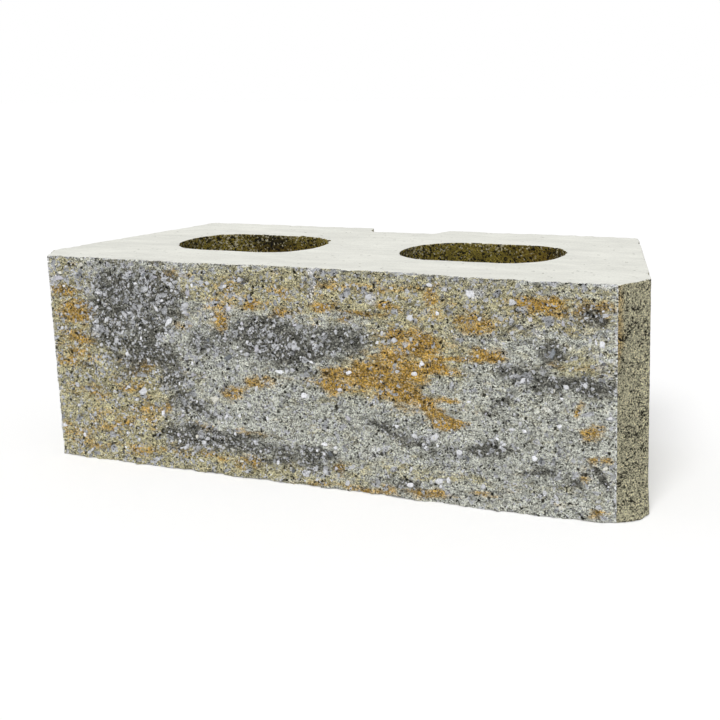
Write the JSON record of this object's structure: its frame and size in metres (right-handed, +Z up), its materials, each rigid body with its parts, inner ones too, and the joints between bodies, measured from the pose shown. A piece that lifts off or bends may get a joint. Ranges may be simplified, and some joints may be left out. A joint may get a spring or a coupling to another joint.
{
  "type": "split-face concrete retaining-wall block",
  "caption": "Concrete wall block with a rough split face, flared corner facets, tapered sides, oval through cores and a shallow notch in the back.",
  "frame": {"origin": "on the base, in the middle of the width and of the depth, on the web between the two cores", "axes": "+X runs to the right along the split face as seen from the front, +Y goes from the split face to the back, +Z is up as the block lies in a wall"},
  "size_m": [0.4562, 0.1833, 0.1524],
  "materials": {
    "split_face_concrete": "dry-cast concrete, rough where split or against the core, smoother on the struck top"
  },
  "bodies": {
    "root": {"wall_block": "split_face_concrete"}
  },
  "joints": []
}
